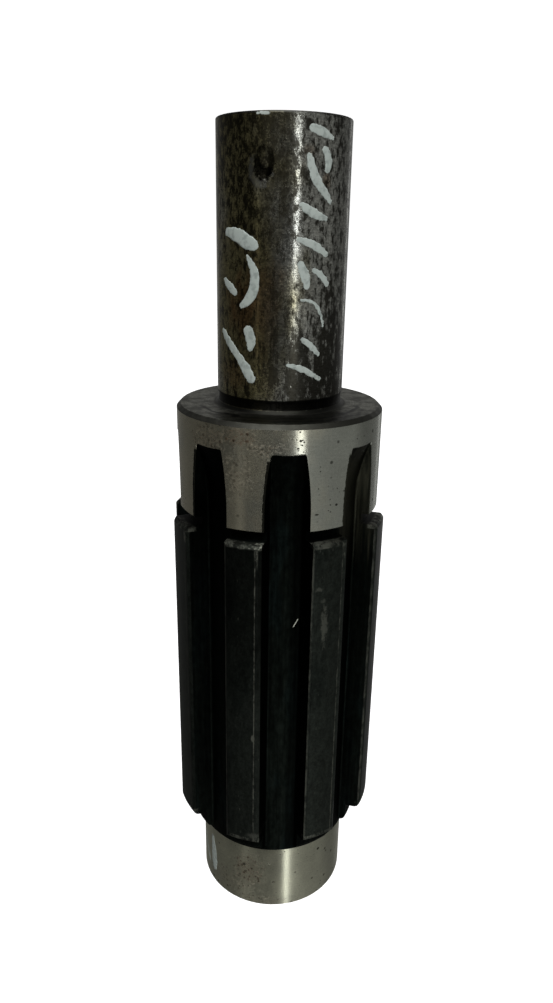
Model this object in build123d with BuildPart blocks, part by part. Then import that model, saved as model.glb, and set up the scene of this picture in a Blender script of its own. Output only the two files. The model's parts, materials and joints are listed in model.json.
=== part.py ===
"""Splined machine shaft, turned, hobbed and ground from one steel bar.

It stands on its pilot end, with the axis on Z. From the bottom up it has the pilot, a short neck,
eight straight-sided spline teeth, a ring groove, the ground collar that the grooves run out into,
and the plain stub. Angles round the axis are counted from -Y towards +X, and a groove lies at -Y.
"""
from build123d import *
from math import asin, cos, radians, sin
import os

# Lengths along the axis, from the pilot's end upwards
pilot_length = 21.0
neck_length = 1.4
spline_length = 90.1
ring_groove_width = 2.5
collar_length = 25.0
stub_length = 62.0

# Diameters
pilot_diameter = 40.0
neck_diameter = 42.5
spline_floor_diameter = 42.7
spline_diameter = 54.0
ring_groove_diameter = 46.0
collar_diameter = 50.0
stub_diameter = 30.0

# Spline teeth and the grooves between them
tooth_count = 8
tooth_width = 9.0
tooth_edge_break = 0.5
tooth_end_chamfer = 0.8
tooth_nose_radius = 1.8
toe_depth = 3.8
toe_height = 5.3
toe_rounding = 1.6
root_radius = 0.6
cutter_radius = 32.0
runout_above_spline = 6.2

# Turned edges
pilot_chamfer = 0.25
collar_chamfer = 1.0
collar_lower_chamfer = 0.25
stub_edge_radius = 0.5

# Undercut at the foot of the stub
undercut_width = 3.0
undercut_depth = 0.3
undercut_radius = 1.5
undercut_run = 0.7

# Centre holes that the shaft was turned and ground between
stub_centre_drill = 3.15
stub_centre_mouth = 6.7
pilot_centre_drill = 4.0
pilot_centre_mouth = 8.5
centre_drill_lengths = 2.6
centre_angle = 60.0

# Oval dent that a clamping screw left in the stub
dent_below_end = 9.5
dent_azimuth = -20.3
dent_depth = 0.6
dent_cross_radius = 4.8
dent_long_radius = 10.0
dent_tool_width = 6.0

# Levels and radii that follow from the sizes
neck_bottom = pilot_length
neck_top = neck_bottom + neck_length
toe_top = neck_top + toe_height
spline_top = neck_top + spline_length
collar_bottom = spline_top + ring_groove_width
collar_top = collar_bottom + collar_length
undercut_top = collar_top + undercut_width
shaft_top = collar_top + stub_length

pilot_radius = pilot_diameter / 2
neck_radius = neck_diameter / 2
floor_radius = spline_floor_diameter / 2
spline_radius = spline_diameter / 2
toe_radius = spline_radius - toe_depth
ring_groove_radius = ring_groove_diameter / 2
collar_radius = collar_diameter / 2
stub_radius = stub_diameter / 2
undercut_foot = stub_radius - undercut_depth

# The whole turned blank, as one half section revolved about the axis
with BuildPart() as splined_shaft:
    with BuildSketch(Plane.XZ) as half_section:
        with BuildLine():
            Polyline(
                (0, 0),
                (pilot_radius - pilot_chamfer, 0),
                (pilot_radius, pilot_chamfer),
                (pilot_radius, neck_bottom),
                (neck_radius, neck_bottom),
                (neck_radius, neck_top),
                (toe_radius, neck_top),
                (toe_radius, toe_top),
                (spline_radius, toe_top),
                (spline_radius, spline_top - tooth_end_chamfer),
                (spline_radius - tooth_end_chamfer, spline_top),
                (ring_groove_radius, spline_top),
                (ring_groove_radius, collar_bottom),
                (collar_radius - collar_lower_chamfer, collar_bottom),
                (collar_radius, collar_bottom + collar_lower_chamfer),
                (collar_radius, collar_top - collar_chamfer),
                (collar_radius - collar_chamfer, collar_top),
                (undercut_foot, collar_top),
                (undercut_foot, undercut_top - undercut_run),
                (stub_radius, undercut_top),
                (stub_radius, shaft_top),
                (0, shaft_top),
                close=True,
            )
        make_face()
        undercut_corner = half_section.vertices().sort_by_distance((undercut_foot, collar_top))[0]
        fillet(undercut_corner, radius=undercut_radius)
        toe_corner = half_section.vertices().sort_by_distance((toe_radius, neck_top))[0]
        fillet(toe_corner, radius=toe_rounding)
        nose_corner = half_section.vertices().sort_by_distance((spline_radius, toe_top))[0]
        fillet(nose_corner, radius=tooth_nose_radius)
        stub_edge = half_section.vertices().sort_by_distance((stub_radius, shaft_top))[0]
        fillet(stub_edge, radius=stub_edge_radius)
    revolve(axis=Axis.Z)

    # A centre hole in each end
    with Locations(Plane.XY.offset(shaft_top)):
        CounterSinkHole(
            radius=stub_centre_drill / 2,
            counter_sink_radius=stub_centre_mouth / 2,
            depth=centre_drill_lengths * stub_centre_drill,
            counter_sink_angle=centre_angle,
        )
    with Locations(Plane.XY.rotated((180, 0, 0))):
        CounterSinkHole(
            radius=pilot_centre_drill / 2,
            counter_sink_radius=pilot_centre_mouth / 2,
            depth=centre_drill_lengths * pilot_centre_drill,
            counter_sink_angle=centre_angle,
        )

# One spline groove, as the form cutter sweeps it: straight along the teeth, then out on the
# cutter's own arc through the collar. Its flanks are parallel to the middle of each tooth beside it.
half_pitch = radians(180 / tooth_count)
half_tooth = tooth_width / 2
edge_break_radius = spline_radius - tooth_edge_break
floor_corner_angle = half_pitch - asin(half_tooth / floor_radius)
edge_break_angle = half_pitch - asin(half_tooth / edge_break_radius)
floor_corner_x = floor_radius * sin(floor_corner_angle)
floor_corner_y = -floor_radius * cos(floor_corner_angle)
edge_break_x = edge_break_radius * sin(edge_break_angle)
edge_break_y = -edge_break_radius * cos(edge_break_angle)
flare_reach = 3 * tooth_edge_break
flare_angle = half_pitch + radians(45)
flare_x = edge_break_x + flare_reach * sin(flare_angle)
flare_y = edge_break_y - flare_reach * cos(flare_angle)
cutter_back_y = -(spline_radius + flare_reach)
runout_start = spline_top + runout_above_spline
runout_sweep = 40.0

with BuildPart() as groove_cutter:
    with BuildSketch(Plane.XY.offset(runout_start)) as groove_profile:
        with BuildLine():
            ThreePointArc(
                (-floor_corner_x, floor_corner_y),
                (0, -floor_radius),
                (floor_corner_x, floor_corner_y),
            )
            Polyline(
                (floor_corner_x, floor_corner_y),
                (edge_break_x, edge_break_y),
                (flare_x, flare_y),
                (flare_x, cutter_back_y),
                (-flare_x, cutter_back_y),
                (-flare_x, flare_y),
                (-edge_break_x, edge_break_y),
                (-floor_corner_x, floor_corner_y),
            )
        make_face()
        floor_corners = groove_profile.vertices().sort_by(Axis.Y)[-2:]
        fillet(floor_corners, radius=root_radius)
    extrude(amount=-(runout_start - neck_bottom))
    revolve(
        groove_profile.sketch,
        axis=Axis((0, -(floor_radius + cutter_radius), runout_start), (1, 0, 0)),
        revolution_arc=runout_sweep,
    )

# The dent's form: a small barrel, rounder across the stub than along it
dent_floor = -(stub_radius - dent_depth)
dent_shoulder_x = dent_tool_width / 2
dent_shoulder_drop = dent_cross_radius - (dent_cross_radius**2 - dent_shoulder_x**2) ** 0.5
dent_shoulder_y = dent_floor - dent_shoulder_drop
dent_axis_y = dent_floor - dent_long_radius

with BuildPart() as dent_form:
    with BuildSketch(Plane.XY) as dent_profile:
        with BuildLine():
            ThreePointArc(
                (-dent_shoulder_x, dent_shoulder_y),
                (0, dent_floor),
                (dent_shoulder_x, dent_shoulder_y),
            )
            Polyline(
                (dent_shoulder_x, dent_shoulder_y),
                (dent_shoulder_x, dent_axis_y),
                (-dent_shoulder_x, dent_axis_y),
                (-dent_shoulder_x, dent_shoulder_y),
            )
        make_face()
    revolve(axis=Axis((0, dent_axis_y, 0), (1, 0, 0)))

# The grooves and the dent are cut into the blank
with splined_shaft:
    with PolarLocations(0, tooth_count):
        add(groove_cutter.part, mode=Mode.SUBTRACT)
    with Locations(Location((0, 0, shaft_top - dent_below_end), (0, 0, dent_azimuth))):
        add(dent_form.part, mode=Mode.SUBTRACT)

splined_shaft.part.label = "splined_shaft"

os.makedirs("parts", exist_ok=True)
export_step(splined_shaft.part, "parts/splined_shaft.step")
print("overall length", shaft_top, "mm, volume", round(splined_shaft.part.volume), "mm3")
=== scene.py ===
"""Looks of a splined machine shaft: its steel finishes, its paint marks and the studio round it.

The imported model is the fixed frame, in metres, standing on the floor with the shaft's axis on Z.
Angles round the axis are counted from -Y towards +X, as the teeth are.
"""
import json
from math import cos, pi, radians, sin

import bpy
from bpy.props import FloatProperty, FloatVectorProperty, PointerProperty
from mathutils import Matrix, Vector


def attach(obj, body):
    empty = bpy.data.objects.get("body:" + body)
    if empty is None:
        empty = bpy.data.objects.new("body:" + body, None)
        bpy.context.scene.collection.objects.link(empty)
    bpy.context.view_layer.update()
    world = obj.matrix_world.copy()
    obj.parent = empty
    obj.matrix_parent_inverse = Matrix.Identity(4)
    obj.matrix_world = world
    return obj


bl_info = {
    "name": "Splined shaft looks",
    "version": (1, 0, 0),
    "blender": (4, 5, 0),
    "location": "3D View > Sidebar > Shaft",
    "description": "Gives a splined machine shaft its steel finishes, paint marks and studio",
    "category": "Object",
}

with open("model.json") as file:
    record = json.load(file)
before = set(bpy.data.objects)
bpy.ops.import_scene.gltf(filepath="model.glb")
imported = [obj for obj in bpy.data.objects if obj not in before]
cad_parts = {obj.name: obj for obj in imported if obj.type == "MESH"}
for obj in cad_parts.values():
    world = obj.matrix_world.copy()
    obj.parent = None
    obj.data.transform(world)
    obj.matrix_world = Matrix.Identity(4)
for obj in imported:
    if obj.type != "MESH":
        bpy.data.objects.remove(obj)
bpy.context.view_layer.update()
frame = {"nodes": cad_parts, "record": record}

SHAFT = "splined_shaft"
MM = 0.001
MOUNTS = {mount["name"]: mount["dims"] for mount in frame["record"]["mounts"]}
STUB_RADIUS = MOUNTS["stub_journal"]["r_mm"]
PILOT_RADIUS = MOUNTS["pilot_journal"]["r_mm"]
TIP_RADIUS = 27.0
COLLAR_RADIUS = 25.0
GROOVE_FLOOR_RADIUS = 21.35
TOOTH_PITCH = 45.0
TOOTH_WIDTH = 9.0
WORN_LINE = 3.1  # from the middle of a tooth to the bright line beside its right edge
FRINGE_START = 3.96  # from the middle of a tooth to the dirt beside a slot
SLOT_NARROWING = 0.0060  # mm per square mm of height above the start of the run-out
BETWEEN_SEATS = 30.0  # a height above the pilot and below the collar

# Patches of a finish, one row each: azimuth in degrees, height, half width and half height in mm,
# softness of the border and strength
COLLAR_STAINS = (
    (-27.0, 136.8, 4.2, 1.9, 0.4, 1.0),
    (-45.0, 135.2, 5.0, 3.2, 0.5, 0.7),
    (-12.0, 134.6, 4.0, 1.4, 0.5, 0.55),
    (-27.0, 128.5, 3.0, 5.5, 0.6, 0.45),
    (158.0, 127.0, 6.0, 6.0, 0.5, 0.5),
)
PILOT_STAINS = (
    (-24.0, 11.5, 4.0, 4.6, 0.5, 0.95),
    (-36.0, 5.5, 6.5, 3.0, 0.5, 0.5),
    (-16.0, 1.6, 7.0, 1.4, 0.5, 0.5),
    (112.0, 8.0, 6.0, 5.0, 0.5, 0.55),
)
COLLAR_PIT_CROWDS = (
    (5.5, 136.5, 3.0, 3.0, 0.3, 1.0),
    (26.0, 120.5, 3.5, 1.8, 0.3, 1.0),
)
COLLAR_PITS = (
    (5.6, 136.6, 0.26, 0.30, 0.25, 1.0),
    (4.4, 134.9, 0.30, 0.20, 0.25, 1.0),
    (26.9, 120.9, 0.34, 0.30, 0.25, 1.0),
    (15.4, 119.2, 0.50, 0.22, 0.25, 1.0),
)
PILOT_PITS = (
    (-3.6, 8.4, 0.45, 0.5, 0.25, 1.0),
    (-27.6, 13.2, 0.50, 0.5, 0.25, 1.0),
    (35.0, 16.0, 0.45, 0.4, 0.25, 1.0),
)
DRIED_OIL = (
    (47.0, 121.0, 4.5, 15.0, 0.6, 0.9),
    (-148.0, 112.0, 4.5, 16.0, 0.6, 0.7),
)
RUBBED_SPOTS = (
    (19.8, 91.6, 0.75, 4.0, 0.5, 0.32),
    (16.2, 101.4, 0.80, 0.45, 0.5, 0.22),
    (18.8, 98.2, 0.50, 0.5, 0.5, 0.16),
    (-15.0, 30.6, 1.60, 0.8, 0.5, 0.22),
)
CHIPPED_SPOTS = ((-16.4, 60.9, 0.45, 0.95, 0.35, 0.42),)
# A painted highlight: round the key's reflection in the stub's middle the steel is made lighter, and
# rougher
STUB_HIGHLIGHT_GLOW = ((11.0, 168.5, 3.4, 9.0, 0.5, 1.0),)
STUB_RUST = (
    (-38.0, 163.5, 4.2, 6.5, 0.6, 0.9),
    (-22.0, 164.5, 3.6, 9.0, 0.6, 0.6),
    (-50.0, 148.0, 3.6, 3.0, 0.6, 0.5),
    (31.0, 189.0, 1.2, 1.6, 0.5, 0.5),
    (14.5, 195.0, 1.3, 1.2, 0.5, 0.4),
    (150.0, 170.0, 5.0, 14.0, 0.6, 0.6),
)
# The dent: painted shade in its hollow, kept off its lit side, and a painted highlight on its left lip
DENT_SHADE = ((-21.4, 192.2, 2.25, 3.3, 0.16, 1.0),)
DENT_LIT_SIDE = ((-14.5, 193.6, 2.70, 1.9, 0.35, 1.0),)
DENT_LIP_HIGHLIGHT = ((-23.6, 191.0, 2.70, 3.5, 0.12, 1.0),)
PAINT_DROPS = (
    (-20.5, 201.45, 1.00, 0.30, 0.25, 1.0),
    (-26.0, 201.45, 0.45, 0.25, 0.25, 1.0),
    (-23.5, 201.6, 0.40, 0.20, 0.25, 1.0),
)

# Upright bands of the stub: as the patches, but the last number is how much darker the band is. Most
# are dark streaks; the lighter band at -3.5° is a painted highlight and the dark band at 4.6° painted
# shade, which move the key's reflection near the foot.
STUB_BANDS = (
    (-11.0, 158.0, 1.0, 12.0, 0.5, 0.055),
    (-3.5, 153.0, 1.1, 9.0, 0.5, -0.050),
    (4.6, 149.5, 0.9, 5.0, 0.5, 0.040),
    (31.5, 154.0, 1.6, 9.0, 0.5, 0.050),
    (42.0, 158.0, 1.6, 9.0, 0.5, 0.055),
    (55.0, 155.0, 1.5, 8.0, 0.5, 0.030),
    (-19.0, 199.0, 2.8, 2.0, 0.5, 0.045),
)

# Brightness of the room that the steel reflects: azimuth in degrees, then level
ROOM_STOPS = (
    (-180, 0.26), (-165, 0.20), (-150, 0.12), (-120, 0.09), (-64, 0.078), (-53, 0.105),
    (-48, 0.24), (-43, 0.09), (-10, 0.075), (9, 0.085), (18, 0.17), (34, 0.29), (50, 0.23),
    (84, 0.22), (100, 0.13), (130, 0.14), (150, 0.17), (166, 0.30), (180, 0.24),
)
ROOM_BLUE = 0.97  # blue of the room, as a share of its red and green
BACKDROP_STRENGTH = 1.05
FLOOR_GLOW = 0.93
STUDIO_FLOOR_RADIUS = 6.0  # metres

# Lights, in metres: two tall strips level with the shaft, and a square box above
STRIP_DISTANCE = 1.0
STRIP_HEIGHT = 2.4
KEY_WIDTH = 0.09
REAR_WIDTH = 0.10
TOP_DISTANCE = 1.2
TOP_WIDTH = 1.0
AIM_HEIGHT = 0.1
KEY_TINT = (0.98, 1.0, 1.02)
WHITE = (1.0, 1.0, 1.0)


def length(name, description, default):
    """A length that a user may change, in metres."""
    return FloatProperty(name=name, description=description, default=default, unit="LENGTH")


def colour(name, description, default):
    """A linear colour that a user may change."""
    return FloatVectorProperty(
        name=name, description=description, default=default, min=0.0, max=1.0, subtype="COLOR"
    )


def angle(name, description, degrees):
    """An angle that a user may change."""
    return FloatProperty(
        name=name, description=description, default=radians(degrees), subtype="ANGLE"
    )


class ShaftLevels(bpy.types.PropertyGroup):
    """Heights where one finish gives way to the next."""

    pilot_top: length("Pilot top", "Upper end of the ground pilot", 0.0209)
    land_foot: length("Land foot", "Where the lands turn into their round noses", 0.0295)
    tooth_top: length("Tooth top", "Upper end of the spline teeth", 0.1125)
    collar_foot: length("Collar foot", "Lower end of the ground collar", 0.1151)
    runout: length("Run-out", "Where the grooves start to rise through the collar", 0.1187)
    slot_top: length("Slot top", "Upper end of the dirt beside the slots", 0.1322)
    seat_top: length("Seat top", "Upper end of the ground seat on the collar", 0.1390)
    collar_top: length("Collar top", "The collar's upper face", 0.1400)
    undercut_foot: length("Undercut foot", "Where the undercut turns black", 0.14075)
    stub_foot: length("Stub foot", "Upper end of the undercut", 0.1430)
    stub_top: length("Stub top", "Where the stub's rounded edge starts", 0.2016)


class ShaftColours(bpy.types.PropertyGroup):
    """Colours of the steel finishes and of the paint."""

    ground: colour("Ground steel", "Collar", (0.48, 0.50, 0.44))
    tarnish: colour("Tarnish", "Warm tint of handled ground steel", (0.50, 0.47, 0.36))
    olive: colour("Olive steel", "Oily tint of the ground pilot", (0.64, 0.64, 0.49))
    land: colour("Lands", "Reflection of the blackened lands", (0.033, 0.039, 0.033))
    groove: colour("Grooves", "Reflection of the blackened grooves", (0.0050, 0.0066, 0.0054))
    oil: colour("Oil", "Blue-green oil film", (0.0058, 0.0088, 0.0080))
    film: colour("Dried oil", "Olive film in some grooves", (0.060, 0.060, 0.042))
    bare: colour("Bare steel", "Where edges have worn bright", (0.36, 0.37, 0.31))
    stub_light: colour("Stub, grey", "Grey steel between the stains of the stub", (0.40, 0.405, 0.37))
    stub_brown: colour("Stub, olive", "Oily brown steel of the stub", (0.27, 0.24, 0.125))
    stub_rust: colour("Stub, rust", "Thin rust on the stub", (0.23, 0.14, 0.065))
    stub_dark: colour("Stub, dark", "Scale and oil streaks on the stub", (0.020, 0.018, 0.012))
    face_light: colour("Face, light", "Collar face where it is wiped", (0.19, 0.19, 0.165))
    face_dark: colour("Face, dark", "Oil and dirt on the collar face", (0.065, 0.064, 0.055))
    rust: colour("Rust", "Rust spots on ground steel", (0.070, 0.042, 0.024))
    rust_film: colour("Rust film", "Brown bloom round the rust spots", (0.30, 0.235, 0.16))
    slot_dirt: colour("Slot dirt", "Dirt beside the collar's slots", (0.005, 0.0055, 0.004))
    slot_oil: colour("Slot oil", "Dried oil beside the right slot", (0.055, 0.056, 0.038))
    undercut: colour("Undercut", "Oil and shade in the undercut", (0.003, 0.003, 0.0025))
    fillet: colour("Fillet", "Foot of the undercut", (0.035, 0.035, 0.030))
    smear: colour("Smear", "Oil smeared over the collar face", (0.014, 0.014, 0.011))
    oil_line: colour("Oil line", "Wavy oil lines on the collar face", (0.002, 0.002, 0.0016))
    chamfer: colour("Chamfer", "Edge of the collar face", (0.048, 0.048, 0.041))
    rim: colour("Rim", "Rounded edge and top of the stub", (0.075, 0.075, 0.068))
    # Painted shade: this colour darkens the dent's hollow
    dent: colour("Dent", "Dirt in the dent", (0.003, 0.0028, 0.0022))
    paint: colour("Paint", "Marker paint", (0.52, 0.58, 0.54))
    thin_paint: colour("Thin paint", "Paint where the brush lifted", (0.17, 0.205, 0.19))


class ShaftStudio(bpy.types.PropertyGroup):
    """Camera, lights and floor."""

    distance: length("Camera distance", "Camera to shaft axis, level", 0.18499)
    height: length("Camera height", "Camera above the floor", 0.18067)
    azimuth: angle("Camera azimuth", "Where the camera stands round the axis", -5.293)
    heading: angle("Camera heading", "Camera's heading, from +Y towards +X", 5.188)
    pitch: angle("Camera pitch", "How far the camera looks down", 19.883)
    roll: angle("Camera roll", "Camera's turn about its own line of sight", 0.96)
    lens: FloatProperty(name="Lens", description="Focal length", default=27.575, unit="CAMERA")
    key_azimuth: angle("Key azimuth", "Where the tall strip light stands", 18.0)
    key_power: FloatProperty(name="Key power", description="Watts of the strip light", default=2.45)
    rear_azimuth: angle("Rear azimuth", "Where the strip behind the shaft stands", 142.0)
    rear_power: FloatProperty(name="Rear power", description="Watts of the rear strip", default=0.343)
    top_azimuth: angle("Top azimuth", "Where the overhead box stands", -15.0)
    top_elevation: angle("Top elevation", "How high the overhead box stands", 62.0)
    top_power: FloatProperty(name="Top power", description="Watts of the overhead box", default=12.0)


class Wires:
    """Adds nodes to one node tree, and gives back their output sockets."""

    def __init__(self, tree):
        self.tree = tree

    def add(self, kind, **settings):
        node = self.tree.nodes.new(kind)
        for name, value in settings.items():
            setattr(node, name, value)
        return node

    def plug(self, socket, value):
        """Links an output to the socket, or sets a constant on it."""
        if isinstance(value, bpy.types.NodeSocket):
            self.tree.links.new(value, socket)
        elif socket.type == "RGBA" and len(value) == 3:
            socket.default_value = (*value, 1.0)
        else:
            socket.default_value = value

    def math(self, operation, first, second=0.0):
        node = self.add("ShaderNodeMath", operation=operation)
        self.plug(node.inputs[0], first)
        self.plug(node.inputs[1], second)
        return node.outputs[0]

    def times(self, *factors):
        product = factors[0]
        for factor in factors[1:]:
            product = self.math("MULTIPLY", product, factor)
        return product

    def plus(self, *terms):
        total = terms[0]
        for term in terms[1:]:
            total = self.math("ADD", total, term)
        return total

    def minus(self, first, second):
        return self.math("SUBTRACT", first, second)

    def either(self, *masks):
        union = masks[0]
        for mask in masks[1:]:
            union = self.math("MAXIMUM", union, mask)
        return union

    def outside(self, mask):
        return self.minus(1.0, mask)

    def span(self, value, low, high, bottom=0.0, top=1.0, smooth=True):
        """Maps low to high onto bottom to top, held at both ends."""
        node = self.add("ShaderNodeMapRange", interpolation_type="SMOOTHSTEP" if smooth else "LINEAR")
        for socket, number in zip(node.inputs, (value, low, high, bottom, top)):
            self.plug(socket, number)
        return node.outputs[0]

    def above(self, value, edge, soft):
        return self.span(value, edge - soft, edge + soft)

    def below(self, value, edge, soft):
        return self.span(value, edge - soft, edge + soft, 1.0, 0.0)

    def between(self, value, low, high, soft):
        return self.times(self.above(value, low, soft), self.below(value, high, soft))

    def near(self, value, place, reach, soft):
        """1 where the value is no further than reach from the place."""
        return self.below(self.math("ABSOLUTE", self.minus(value, place)), reach, soft)

    def stretch(self, vector, factors):
        node = self.add("ShaderNodeVectorMath", operation="MULTIPLY")
        self.plug(node.inputs[0], vector)
        node.inputs[1].default_value = factors
        return node.outputs[0]

    def join(self, x, y, z):
        node = self.add("ShaderNodeCombineXYZ")
        for socket, value in zip(node.inputs, (x, y, z)):
            self.plug(socket, value)
        return node.outputs[0]

    def noise(self, vector, scale, detail, roughness):
        node = self.add("ShaderNodeTexNoise")
        self.plug(node.inputs["Vector"], vector)
        node.inputs["Scale"].default_value = scale
        node.inputs["Detail"].default_value = detail
        node.inputs["Roughness"].default_value = roughness
        return node.outputs[0]

    def specks(self, vector, scale, size, soft):
        """Round specks, one near each point of a scattered grid, as wide as size in cell widths."""
        node = self.add("ShaderNodeTexVoronoi")
        self.plug(node.inputs["Vector"], vector)
        node.inputs["Scale"].default_value = scale
        picked = self.math("GREATER_THAN", self.luminance(node.outputs["Color"]), 0.62)
        return self.times(self.below(node.outputs["Distance"], size, soft), picked)

    def luminance(self, tint):
        node = self.add("ShaderNodeRGBToBW")
        self.plug(node.inputs[0], tint)
        return node.outputs[0]

    def mix(self, fraction, first, second):
        """Colour from first to second."""
        node = self.add("ShaderNodeMix", data_type="RGBA", clamp_factor=True)
        self.plug(node.inputs[0], fraction)
        self.plug(node.inputs[6], first)
        self.plug(node.inputs[7], second)
        return node.outputs[2]

    def blend(self, fraction, first, second):
        """Number from first to second."""
        node = self.add("ShaderNodeMix", data_type="FLOAT", clamp_factor=True)
        self.plug(node.inputs[0], fraction)
        self.plug(node.inputs[2], first)
        self.plug(node.inputs[3], second)
        return node.outputs[0]

    def bump(self, height, strength, depth):
        """Normal of a surface whose height map is depth metres deep."""
        node = self.add("ShaderNodeBump")
        node.inputs["Strength"].default_value = strength
        node.inputs["Distance"].default_value = depth
        self.plug(node.inputs["Height"], height)
        return node.outputs[0]


class ShaftCoordinates:
    """Where a point of the surface lies on the shaft, in millimetres and degrees."""

    def __init__(self, wires):
        place = wires.add("ShaderNodeTexCoord").outputs["Object"]
        self.wires = wires
        self.point = wires.stretch(place, (1 / MM, 1 / MM, 1 / MM))
        split = wires.add("ShaderNodeSeparateXYZ")
        wires.plug(split.inputs[0], self.point)
        self.x, self.y, self.z = split.outputs
        squares = wires.plus(wires.times(self.x, self.x), wires.times(self.y, self.y))
        self.radius = wires.math("SQRT", squares)
        turn = wires.math("ARCTAN2", self.x, wires.times(self.y, -1.0))
        self.azimuth = wires.math("DEGREES", turn)
        step = wires.math("FLOORED_MODULO", self.azimuth, TOOTH_PITCH)
        off_middle = wires.math("RADIANS", wires.minus(step, TOOTH_PITCH / 2))
        self.lateral = wires.times(self.radius, wires.math("SINE", off_middle))

    def facing(self, azimuth):
        """1 on the side that looks towards the azimuth, -1 on the side that looks away."""
        wires = self.wires
        sideways = wires.times(self.x, sin(radians(azimuth)))
        forwards = wires.times(self.y, -cos(radians(azimuth)))
        return wires.math("DIVIDE", wires.plus(sideways, forwards), self.radius)

    def patch(self, azimuth, level, half_width, half_height, radius, ragged, soft):
        """Mask of an oval patch on the surface, with a ragged border."""
        wires = self.wires
        across = wires.times(wires.minus(self.azimuth, azimuth), radians(1) * radius / half_width)
        along = wires.times(wires.minus(self.z, level), 1 / half_height)
        reach = wires.math("SQRT", wires.plus(wires.times(across, across), wires.times(along, along)))
        return wires.below(wires.plus(reach, ragged), 1.0, soft)

    def patches(self, rows, radius, ragged=0.0):
        """Mask of all patches in a table, each as strong as its row says."""
        masks = []
        for azimuth, level, half_width, half_height, soft, strength in rows:
            mask = self.patch(azimuth, level, half_width, half_height, radius, ragged, soft)
            masks.append(self.wires.times(mask, strength))
        return self.wires.either(*masks)


def centred(wires, texture, amount):
    """A noise, centred on zero and scaled."""
    return wires.times(wires.minus(texture, 0.5), amount)


def scaled(wires, tint, factor):
    """A colour made lighter or darker by a number."""
    node = wires.add("ShaderNodeVectorMath", operation="SCALE")
    wires.plug(node.inputs[0], tint)
    wires.plug(node.inputs["Scale"], factor)
    return node.outputs[0]


def ground_steel(wires, at, colours, levels):
    """Ground collar and pilot: fine marks round the axis, tarnish, rust spots and dark pits."""
    marks = wires.noise(wires.stretch(at.point, (0.35, 0.35, 9.0)), 1.0, 5.0, 0.6)
    cloud = wires.noise(wires.stretch(at.point, (1.0, 1.0, 0.6)), 0.16, 3.0, 0.5)
    grain = wires.noise(at.point, 2.4, 4.0, 0.7)
    on_left = wires.span(wires.plus(at.facing(-45.0), centred(wires, cloud, 1.2)), 0.35, 1.05)
    on_pilot = wires.below(at.z, BETWEEN_SEATS, 2.0)
    # Painted light and shade: the pilot's olive is made lighter on its left side and darker on its
    # right
    pilot_side_light = wires.span(at.facing(-60.0), -0.2, 0.9, 0.80, 1.12, smooth=False)
    tint = wires.mix(on_left, colours.ground, colours.tarnish)
    tint = wires.mix(wires.times(on_pilot, 0.85), tint, scaled(wires, colours.olive, pilot_side_light))
    shade = wires.times(
        wires.span(marks, 0.3, 0.7, 0.90, 1.08, smooth=False),
        wires.span(grain, 0.3, 0.7, 0.86, 1.12, smooth=False),
        wires.span(cloud, 0.3, 0.7, 0.88, 1.10, smooth=False),
    )
    tint = scaled(wires, tint, shade)

    rag = centred(wires, wires.noise(at.point, 0.8, 5.0, 0.7), 3.0)
    blotch = wires.noise(wires.stretch(at.point, (1.0, 1.0, 1.3)), 1.5, 4.0, 0.7)
    stain = wires.either(
        at.patches(COLLAR_STAINS, COLLAR_RADIUS, rag),
        at.patches(PILOT_STAINS, PILOT_RADIUS, rag),
    )
    rust = wires.times(stain, wires.span(blotch, 0.515, 0.585))
    dots = wires.times(stain, wires.specks(at.point, 1.2, 0.42, 0.10))
    tint = wires.mix(wires.times(stain, 0.30), tint, colours.rust_film)
    tint = wires.mix(wires.times(rust, 0.88), tint, colours.rust)
    tint = wires.mix(wires.times(dots, 0.85), tint, colours.rust)

    crowd = wires.either(
        wires.span(wires.noise(at.point, 0.16, 2.0, 0.5), 0.47, 0.62),
        at.patches(COLLAR_PIT_CROWDS, COLLAR_RADIUS),
    )
    small_pits = wires.specks(wires.stretch(at.point, (1.0, 1.0, 1.15)), 1.05, 0.20, 0.08)
    pits = wires.either(
        wires.times(wires.specks(at.point, 0.36, 0.14, 0.06), 0.8),
        wires.times(small_pits, crowd),
        at.patches(COLLAR_PITS, COLLAR_RADIUS),
        at.patches(PILOT_PITS, PILOT_RADIUS),
    )
    tint = wires.mix(wires.times(pits, 0.85), tint, colours.stub_dark)

    ragged = wires.plus(at.lateral, centred(wires, wires.noise(at.point, 0.7, 4.0, 0.7), 0.7))
    rise = wires.math("MAXIMUM", wires.minus(at.z, levels.runout / MM), 0.0)
    slot_edge = wires.plus(FRINGE_START, wires.times(rise, rise, SLOT_NARROWING))
    beside_slot = wires.times(
        wires.above(wires.minus(ragged, slot_edge), 0.0, 0.06),
        wires.below(at.z, levels.slot_top / MM, 0.5),
        wires.outside(on_pilot),
    )
    fringe = wires.mix(wires.span(at.facing(42.0), 0.93, 0.98), colours.slot_dirt, colours.slot_oil)
    tint = wires.mix(wires.times(beside_slot, 0.98), tint, fringe)

    rough = wires.plus(
        wires.blend(on_pilot, 0.27, 0.31), centred(wires, cloud, 0.10), centred(wires, grain, 0.12)
    )
    rough = wires.blend(wires.either(rust, pits, beside_slot), rough, 0.7)
    metal = wires.outside(wires.times(rust, 0.8))
    grain_height = wires.times(grain, wires.blend(on_pilot, 0.45, 0.9))
    height = wires.plus(wires.times(marks, 0.25), grain_height, wires.times(pits, -1.5))
    return tint, rough, metal, height


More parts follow.
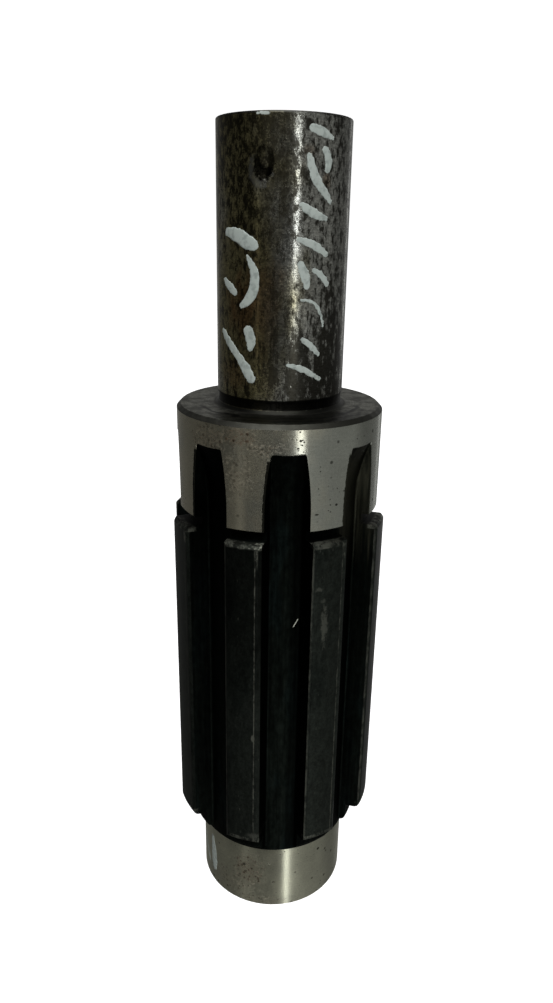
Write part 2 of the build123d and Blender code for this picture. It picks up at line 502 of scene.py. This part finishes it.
def oxide_steel(wires, at, colours, levels):
    """Blackened and oiled teeth and grooves, worn bright along their edges."""
    streaks = wires.noise(wires.stretch(at.point, (1.5, 1.5, 0.06)), 1.0, 4.0, 0.6)
    cloud = wires.noise(wires.stretch(at.point, (1.0, 1.0, 0.3)), 0.14, 3.0, 0.55)
    patchy = wires.noise(wires.stretch(at.point, (1.0, 1.0, 0.45)), 0.9, 5.0, 0.7)
    coarse = wires.noise(wires.stretch(at.point, (1.0, 1.0, 0.25)), 0.2, 2.0, 0.5)
    grain = wires.noise(at.point, 1.9, 4.0, 0.7)
    oily = wires.span(cloud, 0.50, 0.64)
    outermost = wires.above(at.radius, TIP_RADIUS - 0.62, 0.1)
    far_left_tooth = wires.span(at.facing(-67.5), 0.85, 0.95)

    # Painted shade: the groove is darkened where it runs up into the left slot, and on the right of the
    # front groove's floor
    left_slot_shade = wires.times(wires.span(at.facing(-46.0), 0.88, 0.95), wires.above(at.z, 112.0, 4.0))
    in_shade = wires.between(wires.plus(at.azimuth, centred(wires, streaks, 4.0)), 4.0, 16.0, 2.0)
    groove_shade = wires.times(
        wires.span(streaks, 0.34, 0.66, 0.60, 1.5, smooth=False),
        wires.span(patchy, 0.34, 0.66, 0.55, 1.5, smooth=False),
        wires.span(at.z, 118.0, 50.0, 0.6, 1.25, smooth=False),
        wires.blend(left_slot_shade, 1.0, 0.4),
        wires.blend(in_shade, 1.0, 0.4),
    )
    groove = scaled(wires, wires.mix(oily, colours.groove, colours.oil), groove_shade)

    oiled_tooth = wires.times(
        wires.span(at.facing(-25.0), 0.86, 0.95), wires.span(at.z, 66.0, 96.0, 0.35, 0.72)
    )
    strip = wires.above(at.lateral, WORN_LINE + 0.2, 0.15)
    land_shade = wires.times(
        wires.span(grain, 0.3, 0.7, 0.66, 1.36, smooth=False),
        wires.span(patchy, 0.34, 0.66, 0.70, 1.34, smooth=False),
        wires.outside(oiled_tooth),
        wires.blend(strip, 1.0, wires.blend(far_left_tooth, 1.35, 0.6)),
    )
    land = scaled(wires, wires.mix(wires.times(oily, 0.4), colours.land, colours.oil), land_shade)
    tint = wires.mix(outermost, groove, land)
    film = at.patches(DRIED_OIL, COLLAR_RADIUS, centred(wires, streaks, 2.2))
    tint = wires.mix(wires.times(film, wires.outside(outermost)), tint, colours.film)

    worn = wires.plus(patchy, centred(wires, coarse, 0.55))
    line_wear = wires.times(
        wires.near(at.lateral, WORN_LINE, 0.12, 0.09),
        wires.span(worn, 0.34, 0.62, 0.06, 0.50),
        wires.blend(far_left_tooth, 1.0, 0.3),
    )
    left_wear = wires.times(
        wires.below(at.lateral, 0.3 - TOOTH_WIDTH / 2, 0.1),
        wires.span(worn, 0.36, 0.62, 0.04, 0.28),
    )
    top = levels.tooth_top / MM
    foot = levels.land_foot / MM
    corner_wear = wires.times(
        wires.between(at.lateral, WORN_LINE - 0.2, WORN_LINE + 0.7, 0.15),
        wires.above(at.z, top - 4.0, 2.2),
        wires.span(worn, 0.42, 0.60, 0.05, 0.55),
    )
    flecks = wires.times(
        wires.specks(wires.stretch(at.point, (1.0, 1.0, 0.4)), 0.9, 0.14, 0.06),
        wires.span(coarse, 0.46, 0.60),
        0.14,
    )
    land_wear = wires.times(wires.either(line_wear, left_wear, corner_wear, flecks), outermost)
    top_wear = wires.times(
        wires.between(at.z, top - 1.05, top + 0.2, 0.1),
        wires.above(at.radius, TIP_RADIUS - 2.2, 0.4),
        wires.span(worn, 0.40, 0.66, 0.03, 0.42),
    )
    foot_wear = wires.times(
        wires.between(at.z, foot - 1.0, foot + 0.25, 0.2),
        wires.above(at.radius, TIP_RADIUS - 1.5, 0.4),
        wires.span(worn, 0.44, 0.64, 0.0, 0.4),
    )
    rag = centred(wires, wires.noise(wires.stretch(at.point, (1.0, 1.0, 0.5)), 1.6, 4.0, 0.7), 3.4)
    rubbed = wires.either(
        at.patches(RUBBED_SPOTS, TIP_RADIUS, rag), at.patches(CHIPPED_SPOTS, TIP_RADIUS)
    )
    wear = wires.either(land_wear, top_wear, foot_wear, rubbed, groove_nick(wires, at))
    tint = wires.mix(wear, tint, colours.bare)

    groove_rough = wires.plus(0.60, centred(wires, cloud, 0.25))
    land_rough = wires.plus(0.46, centred(wires, grain, 0.25))
    rough = wires.blend(wear, wires.blend(outermost, groove_rough, land_rough), 0.42)
    height = wires.plus(wires.times(streaks, 0.4), wires.times(grain, 0.9))
    return tint, rough, 1.0, height


def groove_nick(wires, at):
    """Mask of the short slanted nick in the floor of the front groove."""
    azimuth, level, slant = 7.6, 90.2, 0.55
    across = wires.times(wires.minus(at.azimuth, azimuth), radians(1) * GROOVE_FLOOR_RADIUS)
    drift = wires.minus(across, wires.times(wires.minus(at.z, level), slant))
    return wires.times(wires.near(drift, 0.0, 0.12, 0.06), wires.between(at.z, 89.2, 91.3, 0.2))


def stub_steel(wires, at, colours, levels):
    """Plain stub: stained brown and grey, mottled dark, with upright streaks and turning marks."""
    blots = wires.noise(wires.stretch(at.point, (1.0, 1.0, 0.55)), 0.85, 7.0, 0.76)
    fine = wires.noise(wires.stretch(at.point, (1.0, 1.0, 0.7)), 3.4, 4.0, 0.75)
    streaks = wires.noise(wires.stretch(at.point, (1.5, 1.5, 0.15)), 1.0, 6.0, 0.75)
    hairs = wires.noise(wires.stretch(at.point, (4.5, 4.5, 0.35)), 1.0, 3.0, 0.6)
    cloud = wires.noise(wires.stretch(at.point, (1.0, 1.0, 0.45)), 0.13, 3.0, 0.55)
    turning = wires.noise(wires.stretch(at.point, (0.25, 0.25, 4.2)), 1.0, 3.0, 0.65)
    ticks = wires.noise(wires.stretch(at.point, (1.7, 1.7, 2.8)), 1.0, 3.0, 0.75)
    rag = centred(wires, wires.noise(wires.stretch(at.point, (1.0, 1.0, 0.35)), 0.5, 5.0, 0.7), 2.6)

    brown = wires.span(wires.plus(at.facing(-45.0), centred(wires, cloud, 1.1)), 0.50, 1.02)
    tint = wires.mix(brown, colours.stub_light, colours.stub_brown)
    tint = wires.mix(at.patches(STUB_RUST, STUB_RADIUS, rag), tint, colours.stub_rust)

    # The tone is high where the stub is dark. Upright streaks take over from blots towards its foot.
    low = wires.span(wires.plus(at.z, centred(wires, cloud, 18.0)), 182.0, 156.0)
    mottle = wires.plus(blots, centred(wires, ticks, 0.30))
    streaky = wires.plus(
        wires.times(streaks, 0.45), wires.times(hairs, 0.15), wires.times(blots, 0.4)
    )
    tone = wires.blend(wires.plus(0.22, wires.times(low, 0.5)), mottle, streaky)
    tone = wires.plus(tone, wires.times(low, 0.012), centred(wires, cloud, 0.12))
    on_left = wires.span(at.facing(-45.0), 0.55, 0.85)
    # Painted highlight: this patch round the key's reflection is made lighter, and rougher below
    wiped = at.patches(STUB_HIGHLIGHT_GLOW, STUB_RADIUS, rag)
    lighter = wires.plus(
        wires.times(on_left, wires.span(at.z, 184.0, 172.0, 0.0, 0.05)),
        wires.span(at.facing(40.0), 0.7, 1.0, 0.0, 0.03),
        wires.times(wiped, 0.055),
    )
    # Painted shade: the stub is darker towards its foot on its right side and at the front, which dims
    # the key's reflection there
    darker = wires.plus(
        wires.times(wires.outside(on_left), wires.span(at.z, 160.0, 150.0, 0.0, 0.055)),
        wires.times(
            wires.span(at.facing(-2.0), 0.90, 0.99), wires.span(at.z, 157.0, 149.0, 0.010, 0.035)
        ),
    )
    # Dark streaks, and near the foot a painted highlight and painted shade on the key's reflection
    for azimuth, level, half_width, half_height, soft, shift in STUB_BANDS:
        band = at.patch(azimuth, level, half_width, half_height, STUB_RADIUS, rag, soft)
        darker = wires.plus(darker, wires.times(band, shift))
    dark = wires.span(wires.minus(wires.plus(tone, darker), lighter), 0.454, 0.532)
    shade = wires.times(
        wires.span(ticks, 0.34, 0.64, 0.36, 1.5, smooth=False),
        wires.span(hairs, 0.3, 0.7, 0.80, 1.22, smooth=False),
        wires.span(turning, 0.3, 0.7, 0.80, 1.20, smooth=False),
    )
    tint = wires.mix(wires.times(dark, 0.93), scaled(wires, tint, shade), colours.stub_dark)

    undercut_foot = levels.undercut_foot / MM
    undercut = wires.between(at.z, undercut_foot, levels.stub_foot / MM + 0.25, 0.2)
    fillet = wires.below(at.z, undercut_foot + 0.05, 0.2)
    tint = wires.mix(wires.times(undercut, 0.97), tint, colours.undercut)
    tint = wires.mix(fillet, tint, colours.fillet)
    rough = wires.plus(
        wires.blend(dark, 0.14, 0.34),
        centred(wires, ticks, 0.22),
        wires.either(wires.span(at.z, 154.0, 147.0, 0.0, 0.12), wires.times(wiped, 0.11)),
    )
    rough = wires.blend(wires.either(undercut, fillet), rough, 0.55)
    height = wires.plus(wires.times(blots, -0.5), wires.times(fine, 2.0), wires.times(turning, 0.4))
    return tint, rough, 1.0, height


def face_steel(wires, at, colours):
    """The collar's upper face: turning rings under oil and dirt."""
    rings = wires.noise(wires.join(wires.times(at.radius, 3.2), 0.0, 0.0), 1.0, 4.0, 0.6)
    grime = wires.noise(at.point, 0.34, 5.0, 0.65)
    grain = wires.noise(at.point, 1.8, 4.0, 0.7)
    tint = wires.mix(wires.span(grime, 0.38, 0.62), colours.face_light, colours.face_dark)
    tint = scaled(wires, tint, wires.span(rings, 0.3, 0.7, 0.7, 1.35, smooth=False))
    tint = scaled(wires, tint, wires.span(grain, 0.3, 0.7, 0.7, 1.3, smooth=False))
    wobble = centred(wires, wires.noise(at.point, 0.22, 4.0, 0.6), 5.0)
    reach = wires.plus(at.radius, wobble)
    front = wires.span(wires.plus(at.facing(6.0), centred(wires, grime, 0.35)), 0.45, 0.85)
    oil_lines = wires.either(
        wires.times(wires.near(reach, 19.2, 0.50, 0.3), wires.span(at.facing(0.0), 0.0, 0.5)),
        wires.times(wires.near(reach, 21.8, 0.55, 0.3), wires.span(at.facing(12.0), 0.6, 0.9)),
    )
    smear = wires.times(front, wires.above(reach, 15.4, 0.5))
    tint = wires.mix(wires.times(smear, 0.80), tint, colours.smear)
    tint = wires.mix(wires.times(oil_lines, 0.93), tint, colours.oil_line)
    chamfer = wires.above(at.radius, COLLAR_RADIUS - 0.95, 0.08)
    tint = wires.mix(wires.times(chamfer, 0.7), tint, colours.chamfer)
    rough = wires.plus(0.46, centred(wires, grime, 0.2))
    return tint, rough, 1.0, wires.plus(wires.times(rings, 0.7), wires.times(grain, 0.7))


def shaft_material(colours, levels):
    """One steel whose finish changes with the height and the radius, as the machining left it."""
    material = bpy.data.materials.new("shaft_steel")
    material.use_nodes = True
    wires = Wires(material.node_tree)
    shader = material.node_tree.nodes["Principled BSDF"]
    at = ShaftCoordinates(wires)

    jitter = centred(wires, wires.noise(at.point, 0.5, 3.0, 0.6), 0.25)
    height = wires.plus(at.z, jitter)
    collar = wires.times(
        wires.between(at.z, levels.collar_foot / MM, levels.seat_top / MM, 0.04),
        wires.above(at.radius, COLLAR_RADIUS - 0.12, 0.03),
    )
    pilot = wires.below(at.z, levels.pilot_top / MM, 0.04)
    ground = wires.either(collar, pilot)
    face = wires.times(
        wires.between(at.z, levels.seat_top / MM, levels.collar_top / MM + 0.12, 0.03),
        wires.above(at.radius, STUB_RADIUS - 0.1, 0.3),
    )
    stub = wires.times(
        wires.above(at.z, levels.collar_top / MM, 0.03),
        wires.below(at.radius, STUB_RADIUS + 1.0, 0.4),
    )
    end = wires.above(height, levels.stub_top / MM, 0.12)

    oxide = oxide_steel(wires, at, colours, levels)
    steels = (
        (ground, ground_steel(wires, at, colours, levels)),
        (face, face_steel(wires, at, colours)),
        (stub, stub_steel(wires, at, colours, levels)),
    )
    tint, rough, metal, relief = oxide
    for mask, (its_tint, its_rough, its_metal, its_relief) in steels:
        tint = wires.mix(mask, tint, its_tint)
        rough = wires.blend(mask, rough, its_rough)
        metal = wires.blend(mask, metal, its_metal)
        relief = wires.blend(mask, relief, its_relief)
    tint = wires.mix(wires.times(end, 0.9), tint, colours.rim)
    rough = wires.blend(end, rough, 0.5)
    rag = centred(wires, wires.noise(at.point, 1.2, 4.0, 0.65), 1.2)
    # Painted shade in the dent: its hollow is darkened except on its lit side, and its left lip is made
    # lighter as a painted highlight
    dent = at.patches(DENT_SHADE, STUB_RADIUS, rag)
    lit_side = at.patches(DENT_LIT_SIDE, STUB_RADIUS, rag)
    hollow_shade = wires.times(dent, wires.outside(lit_side))
    tint = wires.mix(wires.times(hollow_shade, 0.97), tint, colours.dent)
    lip_highlight = wires.times(at.patches(DENT_LIP_HIGHLIGHT, STUB_RADIUS, rag), wires.outside(dent))
    tint = wires.mix(wires.times(lip_highlight, 0.35), tint, colours.stub_light)
    drops = at.patches(PAINT_DROPS, STUB_RADIUS, rag)
    tint = wires.mix(drops, tint, colours.paint)
    metal = wires.blend(drops, metal, 0.0)

    wires.plug(shader.inputs["Base Color"], tint)
    wires.plug(shader.inputs["Roughness"], rough)
    wires.plug(shader.inputs["Metallic"], metal)
    wires.plug(shader.inputs["Normal"], wires.bump(relief, 0.5, 0.012 * MM))
    shader.inputs["Specular IOR Level"].default_value = 0.35
    wires.plug(shader.inputs["Anisotropic"], wires.blend(face, 0.85, 0.0))
    shader.inputs["Anisotropic Rotation"].default_value = 0.25
    tangent = wires.add("ShaderNodeTangent", direction_type="RADIAL", axis="Z")
    wires.plug(shader.inputs["Tangent"], tangent.outputs[0])
    return material


def paint_material(colours):
    """Marker paint, matt and streaky, thin where the brush lifted."""
    material = bpy.data.materials.new("marker_paint")
    material.use_nodes = True
    wires = Wires(material.node_tree)
    shader = material.node_tree.nodes["Principled BSDF"]
    at = ShaftCoordinates(wires)
    streaks = wires.noise(at.point, 0.8, 4.0, 0.55)
    thin = wires.span(streaks, 0.46, 0.70)
    tint = wires.mix(wires.times(thin, 0.5), colours.paint, colours.thin_paint)
    wires.plug(shader.inputs["Base Color"], tint)
    wires.plug(shader.inputs["Roughness"], wires.plus(0.5, wires.times(thin, 0.2)))
    wires.plug(shader.inputs["Normal"], wires.bump(streaks, 0.4, 0.02 * MM))
    return material


# Generic brush strokes: (azimuth in degrees, height in mm, brush width in mm) along each
STUB_STROKES = {
    "paint_dab_upper": (
        (-58.0, 178.8, 1.9), (-46.0, 178.3, 3.3), (-35.0, 176.9, 3.3), (-29.0, 176.3, 2.6),
    ),
    "paint_arc_left": (
        (-35.0, 174.0, 0.9), (-28.0, 171.2, 2.0), (-28.0, 167.4, 2.5), (-34.0, 164.8, 2.3),
        (-41.0, 163.6, 1.2),
    ),
    "paint_dab_left": ((-62.0, 168.8, 1.2), (-55.0, 167.6, 2.2), (-48.0, 166.2, 1.4)),
    "paint_sweep_left": (
        (-65.0, 157.6, 1.5), (-57.0, 155.4, 2.2), (-46.0, 153.0, 1.8), (-38.0, 150.6, 2.6),
        (-31.0, 147.8, 2.4),
    ),
    "paint_dab_lower": ((-34.0, 158.4, 2.6), (-31.0, 156.2, 2.6), (-32.0, 154.6, 1.6)),
    "paint_sweep_upper": ((17.0, 199.0, 1.6), (26.0, 198.4, 2.1), (37.0, 197.3, 0.8)),
    "paint_sweep_second": (
        (15.0, 193.8, 1.3), (19.0, 190.4, 2.2), (26.0, 188.0, 2.0), (36.0, 185.2, 1.2),
    ),
    "paint_dab_right": ((29.0, 195.2, 1.4), (34.0, 193.0, 2.1), (32.0, 191.2, 1.4)),
    "paint_dash_upper": ((10.0, 184.4, 1.3), (19.0, 182.8, 2.3), (32.0, 181.8, 1.2)),
    "paint_dash_right": ((8.0, 177.6, 1.2), (21.0, 176.6, 1.9), (34.0, 174.6, 1.3)),
    "paint_dab_middle": ((10.0, 172.6, 1.6), (14.0, 170.4, 2.5), (16.0, 168.0, 1.4)),
    "paint_dash_middle": ((22.0, 171.4, 1.0), (30.0, 170.2, 1.7), (36.0, 168.4, 1.2)),
    "paint_arc_lower": ((11.0, 165.2, 0.5), (22.0, 165.0, 0.7), (30.0, 162.6, 0.8), (33.0, 159.6, 0.6)),
    "paint_tick_lower": ((13.0, 156.8, 1.0), (20.0, 155.6, 1.5), (29.0, 153.4, 1.0)),
    "paint_dash_lower": ((1.0, 151.2, 0.9), (14.0, 150.4, 1.5), (31.0, 147.8, 0.9)),
}
PILOT_STROKES = {
    "paint_dash_pilot": ((-63.0, 15.6, 1.2), (-61.5, 11.8, 2.5), (-60.5, 7.6, 2.9), (-60.5, 4.8, 1.9)),
    "paint_hair_pilot": ((-80.0, 12.4, 0.8), (-75.0, 8.6, 1.2), (-69.0, 5.4, 1.0)),
}
PAINT_THICKNESS = 0.05  # how far a stroke stands out, as a share of its half width
BRUSH_TIP = ((0.55, 0.8), (0.85, 0.12))  # how far past the last knot, and how wide, in half widths
EDGE_GRAIN = 0.9  # mm, size of the waves in a stroke's edge
EDGE_WAVE = 0.5  # mm, their depth


def rounded_tip(knots):
    """A stroke's knots with two more past the last one, where the brush lifts in a round tip."""
    (x0, z0, _), (x1, z1, half_width) = knots[-2:]
    run = Vector((x1 - x0, z1 - z0)).normalized() * half_width
    tip = [(x1 + run.x * reach, z1 + run.y * reach, half_width * share) for reach, share in BRUSH_TIP]
    return knots + tip


def paint_stroke(name, points, radius, material):
    """A brush stroke modelled flat, as a path with the brush's width, then bent round the shaft."""
    bpy.ops.object.select_all(action="DESELECT")
    bpy.ops.curve.primitive_nurbs_path_add()
    stroke = bpy.context.object
    stroke.name = stroke.data.name = name
    path = stroke.data
    path.splines.clear()
    spline = path.splines.new("NURBS")
    knots = [(radians(azimuth) * radius, level, width / 2) for azimuth, level, width in points]
    knots = rounded_tip(knots[::-1])[::-1]
    knots = rounded_tip(knots)
    spline.points.add(len(knots) - 1)
    for knot, (across, level, half_width) in zip(spline.points, knots):
        knot.co = (across * MM, 0.0, level * MM, 1.0)
        knot.radius = half_width
    spline.order_u = 3
    spline.use_endpoint_u = True
    spline.resolution_u = 10
    path.bevel_depth = MM
    path.bevel_resolution = 5
    path.use_fill_caps = True
    bpy.ops.object.convert(target="MESH")
    stroke = bpy.context.object

    bpy.ops.object.mode_set(mode="EDIT")
    bpy.ops.mesh.select_all(action="SELECT")
    bpy.ops.mesh.remove_doubles(threshold=0.002 * MM)
    bpy.ops.transform.resize(value=(1.0, PAINT_THICKNESS, 1.0), center_override=(0.0, 0.0, 0.0))
    bpy.ops.mesh.normals_make_consistent(inside=False)
    bpy.ops.object.mode_set(mode="OBJECT")

    ragged = bpy.data.textures.new(name + "_edge", "CLOUDS")
    ragged.noise_scale = EDGE_GRAIN * MM
    for direction in ("X", "Z"):
        edge = stroke.modifiers.new("edge_" + direction, "DISPLACE")
        edge.texture = ragged
        edge.direction = direction
        edge.strength = EDGE_WAVE * MM
        bpy.ops.object.modifier_apply(modifier=edge.name)

    places = [vertex.co.x for vertex in stroke.data.vertices]
    wrap = stroke.modifiers.new("wrap", "SIMPLE_DEFORM")
    wrap.deform_method = "BEND"
    wrap.deform_axis = "Z"
    wrap.angle = (max(places) - min(places)) / (radius * MM)
    bpy.ops.object.modifier_apply(modifier=wrap.name)
    stroke.data.transform(Matrix.Translation((0.0, -radius * MM, 0.0)))
    stroke.data.materials.clear()
    stroke.data.materials.append(material)
    bpy.ops.object.shade_smooth()
    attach(stroke, "root")


class SHAFT_OT_finish_steel(bpy.types.Operator):
    """Gives the shaft its ground, blackened and stained steel finishes"""

    bl_idname = "shaft.finish_steel"
    bl_label = "Finish Steel"

    def execute(self, context):
        scene = context.scene
        shaft = frame["nodes"][SHAFT]
        shaft.data.materials.clear()
        shaft.data.materials.append(shaft_material(scene.shaft_colours, scene.shaft_levels))
        return {"FINISHED"}


class SHAFT_OT_paint_marks(bpy.types.Operator):
    """Paints generic brush strokes on the stub and the pilot"""

    bl_idname = "shaft.paint_marks"
    bl_label = "Paint Marks"

    def execute(self, context):
        material = paint_material(context.scene.shaft_colours)
        for name, points in STUB_STROKES.items():
            paint_stroke(name, points, STUB_RADIUS, material)
        for name, points in PILOT_STROKES.items():
            paint_stroke(name, points, PILOT_RADIUS, material)
        return {"FINISHED"}


def area_light(name, direction, distance, size, power, tint):
    """A rectangular soft light, at an azimuth and elevation, that looks at the middle of the axis."""
    azimuth, elevation = direction
    lamp = bpy.data.lights.new(name, "AREA")
    lamp.shape = "RECTANGLE"
    lamp.size, lamp.size_y = size
    lamp.energy = power
    lamp.color = tint
    lamp_object = bpy.data.objects.new(name, lamp)
    bpy.context.collection.objects.link(lamp_object)
    target = Vector((0.0, 0.0, AIM_HEIGHT))
    way = Vector((sin(azimuth) * cos(elevation), -cos(azimuth) * cos(elevation), sin(elevation)))
    lamp_object.location = target + way * distance
    lamp_object.rotation_euler = way.to_track_quat("Z", "Y").to_euler()
    lamp_object.visible_camera = False


def studio_world():
    """White for the camera, and for the steel a dim room that is lighter on the right and behind."""
    world = bpy.data.worlds.new("studio")
    world.use_nodes = True
    tree = world.node_tree
    tree.nodes.clear()
    wires = Wires(tree)
    split = wires.add("ShaderNodeSeparateXYZ")
    wires.plug(split.inputs[0], wires.add("ShaderNodeTexCoord").outputs["Generated"])
    turn = wires.math("ARCTAN2", split.outputs[0], wires.times(split.outputs[1], -1.0))
    ramp = wires.add("ShaderNodeValToRGB")
    wires.plug(ramp.inputs[0], wires.span(turn, -pi, pi, smooth=False))
    while len(ramp.color_ramp.elements) < len(ROOM_STOPS):
        ramp.color_ramp.elements.new(0.5)
    for element, (azimuth, _) in zip(ramp.color_ramp.elements, ROOM_STOPS):
        element.position = (azimuth + 180) / 360
    for element, (_, level) in zip(ramp.color_ramp.elements, ROOM_STOPS):
        element.color = (level, level, level * ROOM_BLUE, 1.0)
    room = wires.add("ShaderNodeBackground")
    wires.plug(room.inputs["Color"], ramp.outputs[0])
    backdrop = wires.add("ShaderNodeBackground")
    backdrop.inputs["Color"].default_value = (1.0, 1.0, 1.0, 1.0)
    backdrop.inputs["Strength"].default_value = BACKDROP_STRENGTH
    switch = wires.add("ShaderNodeMixShader")
    wires.plug(switch.inputs[0], wires.add("ShaderNodeLightPath").outputs["Is Camera Ray"])
    wires.plug(switch.inputs[1], room.outputs[0])
    wires.plug(switch.inputs[2], backdrop.outputs[0])
    wires.plug(wires.add("ShaderNodeOutputWorld").inputs["Surface"], switch.outputs[0])
    bpy.context.scene.world = world


def studio_floor():
    """A wide pale floor that takes a soft shadow and adds no light to the steel."""
    bpy.ops.object.select_all(action="DESELECT")
    bpy.ops.mesh.primitive_circle_add(vertices=96, radius=STUDIO_FLOOR_RADIUS, fill_type="NGON")
    floor = bpy.context.object
    floor.name = "floor"
    material = bpy.data.materials.new("pale_floor")
    material.use_nodes = True
    shader = material.node_tree.nodes["Principled BSDF"]
    shader.inputs["Base Color"].default_value = (0.8, 0.8, 0.8, 1.0)
    shader.inputs["Roughness"].default_value = 0.9
    shader.inputs["Specular IOR Level"].default_value = 0.0
    shader.inputs["Emission Color"].default_value = (1.0, 1.0, 1.0, 1.0)
    shader.inputs["Emission Strength"].default_value = FLOOR_GLOW
    floor.data.materials.append(material)
    floor.visible_diffuse = False
    floor.visible_glossy = False
    floor.visible_shadow = False


def studio_camera(studio):
    """The camera at the photograph's place, angle and lens."""
    place = Vector((sin(studio.azimuth), -cos(studio.azimuth), 0.0)) * studio.distance
    place.z = studio.height
    level = cos(studio.pitch)
    forward = Vector((sin(studio.heading) * level, cos(studio.heading) * level, -sin(studio.pitch)))
    right = forward.cross(Vector((0.0, 0.0, 1.0))).normalized()
    up = right.cross(forward)
    turned_right = right * cos(studio.roll) + up * sin(studio.roll)
    turned_up = up * cos(studio.roll) - right * sin(studio.roll)
    lens = bpy.data.cameras.new("camera")
    lens.sensor_width = 36.0
    lens.lens = studio.lens
    lens.clip_start = 0.01
    camera = bpy.data.objects.new("camera", lens)
    bpy.context.collection.objects.link(camera)
    turn = Matrix((turned_right, turned_up, -forward)).transposed()
    camera.matrix_world = Matrix.Translation(place) @ turn.to_4x4()
    bpy.context.scene.camera = camera


class SHAFT_OT_studio(bpy.types.Operator):
    """Sets up the camera, the lights, the white room and the floor"""

    bl_idname = "shaft.studio"
    bl_label = "Studio"

    def execute(self, context):
        studio = context.scene.shaft_studio
        studio_world()
        studio_floor()
        key_size = (KEY_WIDTH, STRIP_HEIGHT)
        rear_size = (REAR_WIDTH, STRIP_HEIGHT)
        top_size = (TOP_WIDTH, TOP_WIDTH)
        key_way = (studio.key_azimuth, 0.0)
        rear_way = (studio.rear_azimuth, 0.0)
        top_way = (studio.top_azimuth, studio.top_elevation)
        area_light("key", key_way, STRIP_DISTANCE, key_size, studio.key_power, KEY_TINT)
        area_light("rear", rear_way, STRIP_DISTANCE, rear_size, studio.rear_power, WHITE)
        area_light("top", top_way, TOP_DISTANCE, top_size, studio.top_power, WHITE)
        studio_camera(studio)
        context.scene.view_settings.view_transform = "Standard"
        return {"FINISHED"}


class SHAFT_PT_looks(bpy.types.Panel):
    """Shows the operators and the settings of the shaft's looks"""

    bl_label = "Shaft Looks"
    bl_idname = "SHAFT_PT_looks"
    bl_space_type = "VIEW_3D"
    bl_region_type = "UI"
    bl_category = "Shaft"

    def draw(self, context):
        layout = self.layout
        for operator in OPERATORS:
            layout.operator(operator.bl_idname)
        for group in SETTINGS:
            settings = getattr(context.scene, group)
            column = layout.column(align=True)
            for name in settings.bl_rna.properties.keys():
                if name not in {"rna_type", "name"}:
                    column.prop(settings, name)


OPERATORS = (SHAFT_OT_finish_steel, SHAFT_OT_paint_marks, SHAFT_OT_studio)
SETTINGS = {
    "shaft_levels": ShaftLevels,
    "shaft_colours": ShaftColours,
    "shaft_studio": ShaftStudio,
}


def register():
    """Registers the settings, the operators and the panel."""
    for group, kind in SETTINGS.items():
        bpy.utils.register_class(kind)
        setattr(bpy.types.Scene, group, PointerProperty(type=kind))
    for kind in (*OPERATORS, SHAFT_PT_looks):
        bpy.utils.register_class(kind)


def unregister():
    """Takes back what register did."""
    for kind in (SHAFT_PT_looks, *reversed(OPERATORS)):
        bpy.utils.unregister_class(kind)
    for group, kind in SETTINGS.items():
        delattr(bpy.types.Scene, group)
        bpy.utils.unregister_class(kind)


def main():
    """Builds the looks."""
    register()
    bpy.ops.shaft.finish_steel()
    bpy.ops.shaft.paint_marks()
    bpy.ops.shaft.studio()


if __name__ == "__main__":
    main()
